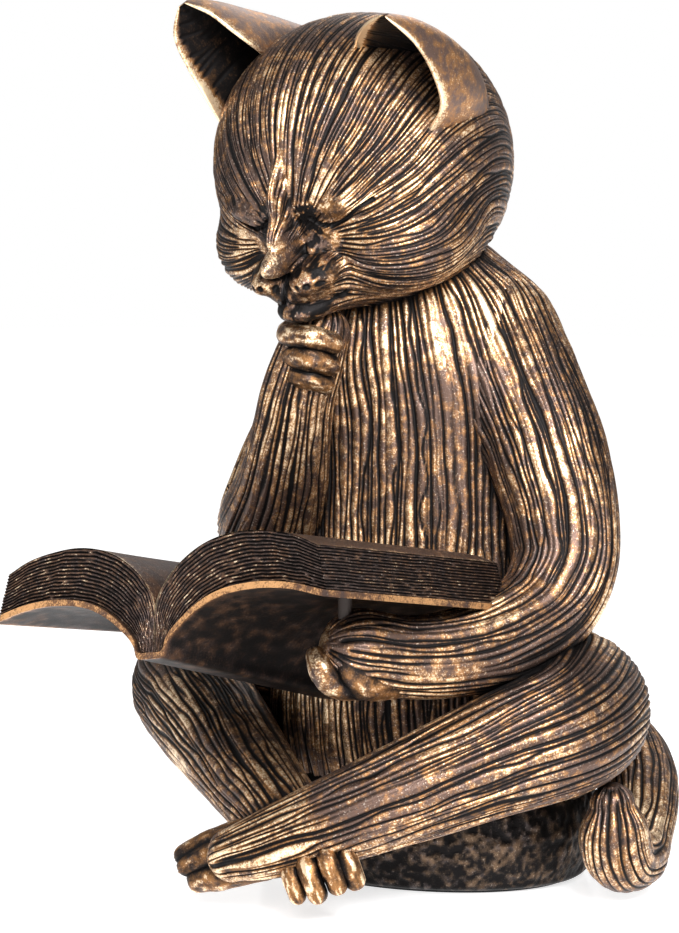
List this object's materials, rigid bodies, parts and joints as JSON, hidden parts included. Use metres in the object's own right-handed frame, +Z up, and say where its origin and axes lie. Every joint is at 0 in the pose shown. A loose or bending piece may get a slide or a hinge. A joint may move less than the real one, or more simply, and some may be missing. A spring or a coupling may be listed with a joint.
{
  "type": "cat figurine reading a book",
  "caption": "Seated cat statuette, legs crossed, one paw under its chin and the other under an open book, in antique bronze finish.",
  "frame": {"origin": "middle of the felt's underside, which is the rest face", "axes": "+Z up; the cat faces -Y and its left side is +X"},
  "size_m": [0.1452, 0.1505, 0.2069],
  "materials": {
    "fur_bronze": "carved fur under antique bronze paint: near-black grooves, gold dry-brushed ridges",
    "ear_bronze": "smooth antique bronze paint, gold rim, dark hollow",
    "base_bronze": "matt dark brown wash, lightly dry-brushed",
    "cover_bronze": "smooth brown bronze paint with copper edges",
    "page_bronze": "engraved page lines, dark wash, lightly gilded edges",
    "felt": "black felt sheet",
    "plug": "black rubber",
    "pin_steel": "plain drawn wire"
  },
  "bodies": {
    "root": {"seat_base": "base_bronze", "base_felt": "felt", "vent_plug": "plug", "torso_shell": "fur_bronze", "head": "fur_bronze", "left_ear": "ear_bronze", "right_ear": "ear_bronze", "left_arm": "fur_bronze", "right_arm": "fur_bronze", "left_leg": "fur_bronze", "right_leg": "fur_bronze", "tail": "fur_bronze", "book_cover": "cover_bronze", "left_page_block": "page_bronze", "right_page_block": "page_bronze", "neck_pin": "pin_steel", "left_shoulder_pin": "pin_steel", "right_shoulder_pin": "pin_steel", "left_hip_pin": "pin_steel", "right_hip_pin": "pin_steel", "tail_pin": "pin_steel", "book_pin": "pin_steel", "chin_pin": "pin_steel"}
  },
  "joints": []
}
